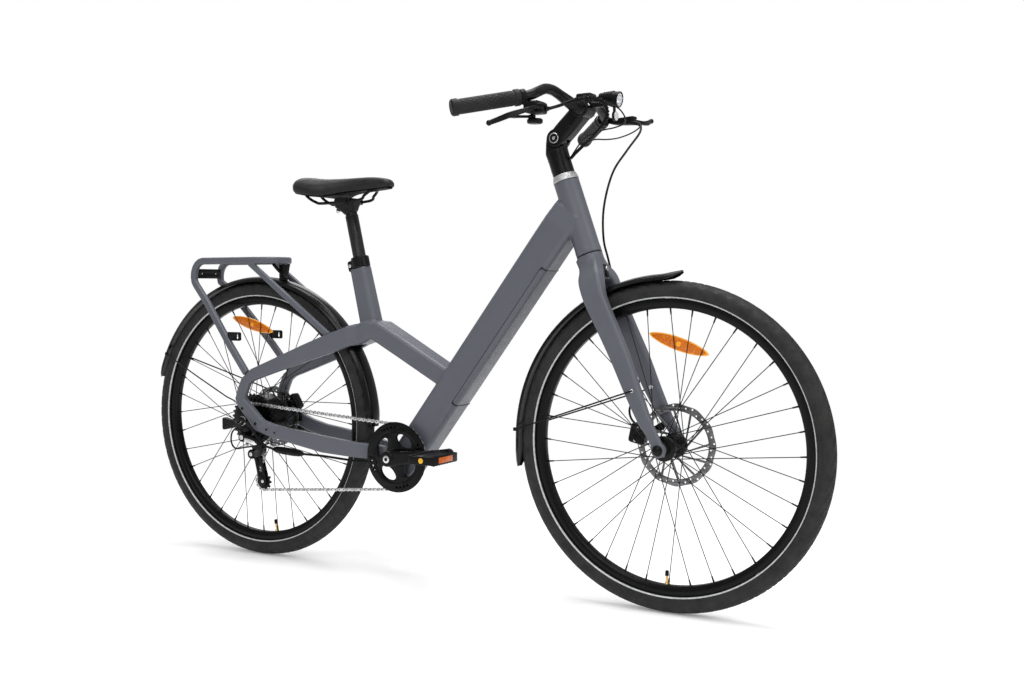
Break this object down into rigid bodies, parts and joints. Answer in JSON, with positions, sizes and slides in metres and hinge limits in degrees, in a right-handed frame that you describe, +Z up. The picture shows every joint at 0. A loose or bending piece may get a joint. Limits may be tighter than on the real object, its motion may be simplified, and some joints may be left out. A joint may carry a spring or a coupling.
{
  "type": "electric bicycle",
  "caption": "Step-through city electric bicycle with a rear hub motor, a battery in the down tube, mudguards, a rear carrier and disc brakes.",
  "frame": {"origin": "on the ground, midway between the wheel axles, in the bicycle's middle plane", "axes": "+X towards the front wheel, +Y to the rider's left, +Z up"},
  "size_m": [1.8369, 0.6304, 1.1185],
  "materials": {
    "frame_paint": "matte blue-grey paint",
    "cover_paint": "matte blue-grey paint over moulded plastic",
    "black_metal": "satin black anodised or painted",
    "black_plastic": "matte black",
    "gloss_black": "gloss black",
    "steel": "brushed",
    "chain_steel": "plated, lightly oiled",
    "silver": "satin silver",
    "rubber": "matte black",
    "tyre_rubber": "black rubber with a reflective stripe",
    "cable_black": "black cable sheath",
    "saddle_leather": "black synthetic leather over foam",
    "reflector_amber": "clear amber, prismatic"
  },
  "bodies": {
    "frame": {"main_frame": "frame_paint", "right_stay": "frame_paint", "left_stay": "frame_paint", "rear_rack": "frame_paint", "motor_controller": "black_plastic", "bottom_bracket": "steel", "seat_clamp": "black_metal", "rear_mudguard": "black_plastic", "chain": "chain_steel", "derailleur_body": "black_metal", "rear_caliper": "black_metal", "motor_axle": "steel", "motor_cable": "cable_black", "lower_headset_bearing": "steel"},
    "steering": {"fork": "frame_paint", "headset_ring": "silver", "stem_base": "black_metal", "front_axle": "black_metal", "front_caliper": "black_metal", "front_mudguard": "black_plastic", "front_brake_cable": "cable_black", "cable_bundle": "cable_black"},
    "bar": {"stem_arm": "black_metal", "handlebar": "black_metal", "right_grip": "rubber", "left_grip": "rubber", "shifter": "black_plastic", "left_brake_mount": "black_plastic", "display": "gloss_black", "headlight": "black_plastic"},
    "front_wheel": {"front_hub": "black_metal", "front_rim": "black_metal", "front_tyre": "tyre_rubber", "front_rotor": "steel", "front_reflector": "reflector_amber"},
    "rear_wheel": {"rear_hub_motor": "black_metal", "rear_rim": "black_metal", "rear_tyre": "tyre_rubber", "rear_rotor": "steel", "rear_reflector": "reflector_amber"},
    "cassette": {"cassette": "steel"},
    "crank": {"crank_spindle": "steel", "chainring": "black_metal", "right_crank": "black_metal", "left_crank": "black_metal"},
    "right_pedal": {"right_pedal": "black_plastic"},
    "left_pedal": {"left_pedal": "black_plastic"},
    "derailleur_cage": {"derailleur_cage": "black_metal"},
    "guide_pulley": {"guide_pulley": "black_plastic"},
    "tension_pulley": {"tension_pulley": "black_plastic"},
    "battery": {"battery_pack": "black_plastic", "battery_cover": "cover_paint"},
    "seatpost": {"seatpost": "black_metal", "saddle_rails": "black_metal", "saddle": "saddle_leather"},
    "kickstand": {"kickstand_leg": "black_metal"},
    "right_brake": {"right_brake_lever": "black_metal"},
    "left_brake": {"left_brake_lever": "black_metal"},
    "shift": {"shift_lever": "black_plastic"},
    "button": {"display_button": "rubber"}
  },
  "joints": [
    {"name": "steering_turn", "type": "hinge", "parent": "frame", "child": "steering", "pos_m": [0.313, 0, 0.937], "axis": [-0.3338, 0, 0.9426], "range_deg": [-60, 60]},
    {"name": "stem_tilt", "type": "hinge", "parent": "steering", "child": "bar", "pos_m": [0.299, 0, 1.017], "axis": [0, 1, 0], "range_deg": [-20, 15], "deforming": ["front_brake_cable", "cable_bundle"]},
    {"name": "front_wheel_spin", "type": "hinge", "parent": "steering", "child": "front_wheel", "pos_m": [0.5635, 0, 0.353], "axis": [0, 1, 0], "continuous": true},
    {"name": "rear_wheel_spin", "type": "hinge", "parent": "frame", "child": "rear_wheel", "pos_m": [-0.5635, 0, 0.353], "axis": [0, 1, 0], "continuous": true},
    {"name": "crank_turn", "type": "hinge", "parent": "frame", "child": "crank", "pos_m": [-0.105, 0, 0.29], "axis": [0, 1, 0], "continuous": true},
    {"name": "cassette_turn", "type": "hinge", "parent": "frame", "child": "cassette", "pos_m": [-0.5635, 0, 0.353], "axis": [0, 1, 0], "continuous": true},
    {"name": "right_pedal_turn", "type": "hinge", "parent": "crank", "child": "right_pedal", "pos_m": [0.06355, 0, 0.31219], "axis": [0, 1, 0], "continuous": true},
    {"name": "left_pedal_turn", "type": "hinge", "parent": "crank", "child": "left_pedal", "pos_m": [-0.27355, 0, 0.26781], "axis": [0, 1, 0], "continuous": true},
    {"name": "derailleur_cage_swing", "type": "hinge", "parent": "frame", "child": "derailleur_cage", "pos_m": [-0.538, -0.0465, 0.272], "axis": [0, 1, 0], "range_deg": [-15, 20], "stiffness_Nm_per_rad": 0.5, "deforming": ["chain"]},
    {"name": "guide_pulley_turn", "type": "hinge", "parent": "derailleur_cage", "child": "guide_pulley", "pos_m": [-0.538, -0.0465, 0.272], "axis": [0, 1, 0], "continuous": true},
    {"name": "tension_pulley_turn", "type": "hinge", "parent": "derailleur_cage", "child": "tension_pulley", "pos_m": [-0.519, -0.0465, 0.199], "axis": [0, 1, 0], "continuous": true},
    {"name": "battery_slide", "type": "slide", "parent": "frame", "child": "battery", "axis": [0.7986, 0, -0.6018], "range_m": [0, 0.06]},
    {"name": "seatpost_slide", "type": "slide", "parent": "frame", "child": "seatpost", "axis": [-0.2245, 0, 0.9745], "range_m": [-0.015, 0.04]},
    {"name": "kickstand_swing", "type": "hinge", "parent": "frame", "child": "kickstand", "pos_m": [-0.48, 0.096, 0.32], "axis": [0, -1, 0], "range_deg": [0, 100]},
    {"name": "right_brake_pull", "type": "hinge", "parent": "bar", "child": "right_brake", "pos_m": [0.354, -0.188, 1.056], "axis": [0, 0, -1], "range_deg": [0, 20], "stiffness_Nm_per_rad": 0.8},
    {"name": "left_brake_pull", "type": "hinge", "parent": "bar", "child": "left_brake", "pos_m": [0.392, 0.192, 1.074], "axis": [0, 0, 1], "range_deg": [0, 20], "stiffness_Nm_per_rad": 0.8},
    {"name": "shift_lever_push", "type": "hinge", "parent": "bar", "child": "shift", "pos_m": [0.322, -0.166, 1.044], "axis": [0, 0, -1], "range_deg": [0, 20], "stiffness_Nm_per_rad": 0.3},
    {"name": "display_button_press", "type": "slide", "parent": "bar", "child": "button", "axis": [0, 0, 1], "range_m": [-0.001, 0], "stiffness_N_per_m": 600}
  ],
  "couplings": [
    {"joint": "cassette_turn", "follows": "crank_turn", "ratio": 1.8095},
    {"joint": "guide_pulley_turn", "follows": "crank_turn", "ratio": -3.4545},
    {"joint": "tension_pulley_turn", "follows": "crank_turn", "ratio": 3.4545}
  ]
}
